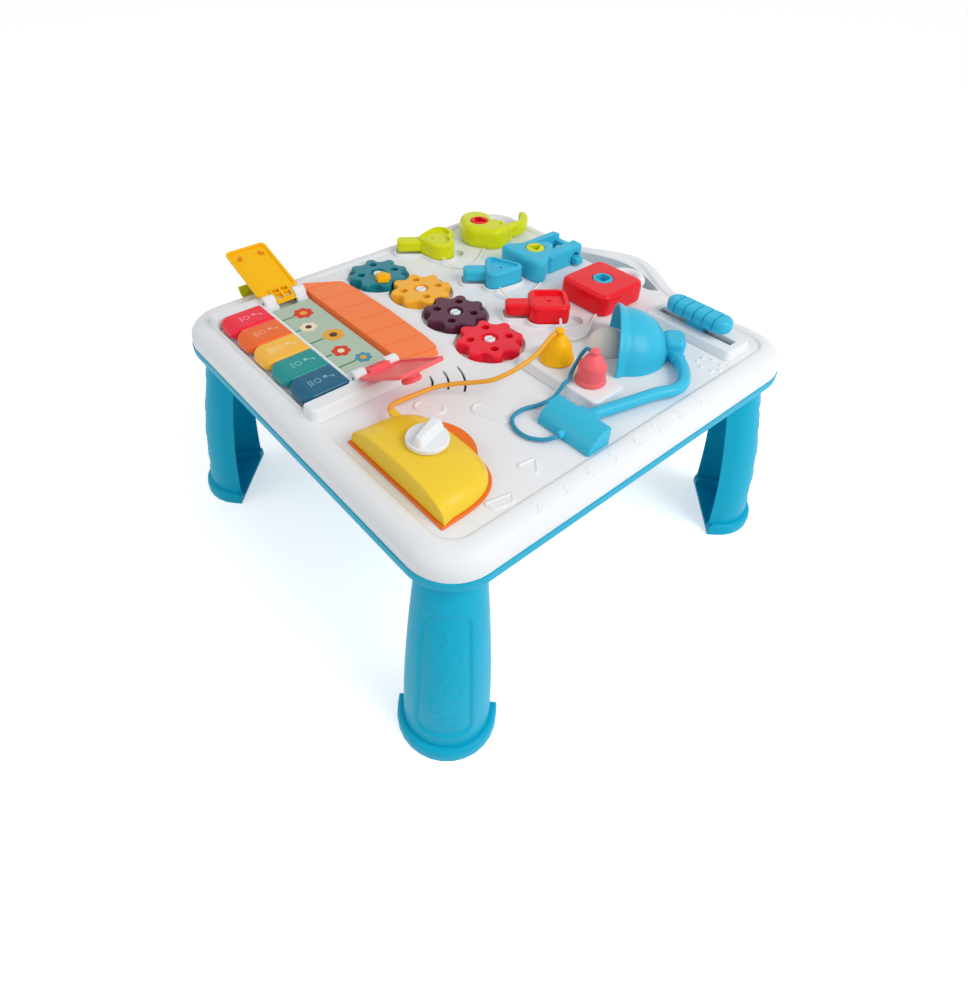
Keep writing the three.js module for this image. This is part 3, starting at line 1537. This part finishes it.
bossPlaces.forEach((boss) => {
  trayAdd.push(drum(boss.x, boss.y, bossRadius, trayInner - overrun, trayTop, smallSides));
});
const batteryPlace = spot(batteryShare);

function batteryBox(margin, low, high) {
  return block(
    batteryPlace.x - batteryHalfX - margin, batteryPlace.x + batteryHalfX + margin,
    batteryPlace.y - batteryHalfY - margin, batteryPlace.y + batteryHalfY + margin, low, high,
  );
}

trayAdd.push(batteryBox(batteryWall, trayInner - overrun, trayInner + batteryHeight));
trayCuts.push(
  batteryBox(-batteryLedge, trayLow - overrun, trayInner + batteryHeight + overrun),
  batteryBox(0, trayLow - overrun, trayLow + batteryCover + seatGap),
);
const tray = without(
  joined(
    without(
      stack(outline, trayLevels),
      stack(outline, [[traySkirt, trayInner], [traySkirt, trayTop + overrun]]),
    ),
    ...trayAdd,
  ),
  ...trayCuts,
);
piece('deck_tray', tray, cyan, smooth, deck);
const coverSide = batteryBox(-seatGap, trayLow, trayLow + batteryCover);
piece('battery_cover', coverSide, cyan, smooth, deck);

const boardLow = trayInner + boardLift;
const board = block(
  boardPlace.x - boardHalfX, boardPlace.x + boardHalfX, boardPlace.y - boardHalfY, boardPlace.y + boardHalfY,
  boardLow, boardLow + boardThick,
);
piece('circuit_board', board, '#1f6b3a', satin, deck);
const speaker = solidOf(turned([
  [0, -wall - speakerDepth], [speakerRadius / 2, -wall - speakerDepth],
  [speakerRadius / 2, -wall - speakerDepth / 2], [speakerRadius, -wall - speakerDepth / 4],
  [speakerRadius, -wall - seatGap], [0, -wall - seatGap],
]));
piece('speaker', speaker, '#2c2c2e', satin, deck).position.set(speakerX, speakerY, 0);

// Legs: open shells that splay to a wide foot, closed above and below, with a spigot on top
const legTopRadius = 25;
const legFootRadius = 37;
const legFootInset = 21;
const legWing = 9;
const legWall = 3.5;
const legPlate = 3.5;
const legSplay = 1.8;
const legSteps = 4;
const legArcSteps = 7;
const flangeRadius = 43;
const flangeHeight = 12;
const legNames = ['leg_front_left', 'leg_back_left', 'leg_front_right', 'leg_back_right'];

// Section open towards -X; outer outline when the trim is zero
function legOutline(radius, trim) {
  return [
    ...arc(0, 0, radius - trim, -90, 90, legArcSteps),
    at(-legWing, radius - trim),
    at(-legWing, trim - radius),
  ];
}

function legShell(radius) {
  const outer = legOutline(radius, 0).slice(0, -2);
  const inner = arc(0, 0, radius - legWall, 90, -90, legArcSteps);
  return [
    ...outer,
    at(-legWing, radius),
    at(-legWing, radius - legWall),
    ...inner,
    at(-legWing, legWall - radius),
    at(-legWing, -radius),
  ];
}

const legTopZ = trayLow - seatGap;
const footShift = (legInset - legFootInset) * Math.SQRT2;

function legAt(share) {
  const spread = 1 - (1 - share) ** legSplay;
  return {
    x: footShift * spread,
    z: legTopZ + (-deckHeight - legTopZ) * share,
    radius: legTopRadius + (legFootRadius - legTopRadius) * spread,
  };
}

function legRing(makePlan, share) {
  const level = legAt(share);
  return ringAt(placed(makePlan(level.radius), level.x, 0), level.z);
}

const legRings = [];
for (let step = legSteps; step >= 0; step -= 1) {
  legRings.push(legRing(legShell, step / legSteps));
}
const footX = footShift;
const flangeShell = placed(legShell(flangeRadius), footX, 0);
const flangeFull = placed(legOutline(flangeRadius, 0), footX, 0);
const flangeLow = -deckHeight;
const legSolid = joined(
  solidOf(loft(legRings)),
  prism(placed(legOutline(legTopRadius, 0), 0, 0), legTopZ - legPlate, legTopZ),
  prism(flangeFull, flangeLow, flangeLow + legPlate),
  prism(flangeShell, flangeLow, flangeLow + flangeHeight),
  prism(placed(legShell(legFootRadius + legWall), footX, 0), flangeLow, flangeLow + flangeHeight),
  drum(0, 0, spigotRadius, legTopZ - overrun, -spigotTop - seatGap),
);
legTops.forEach((top, number) => {
  const place = group(deck, top.x, top.y);
  place.rotation.z = Math.atan2(Math.sign(top.y - deckDepth / 2), Math.sign(top.x));
  piece(legNames[number], legSolid, cyan, smooth, place);
});

// The origin lies on the floor under the middle of the table
table.updateMatrixWorld(true);
const bounds = new THREE.Box3().setFromObject(table, true);
const middle = bounds.getCenter(new THREE.Vector3());
deck.position.x -= middle.x;
deck.position.y -= middle.y;
table.updateMatrixWorld(true);

export default table;
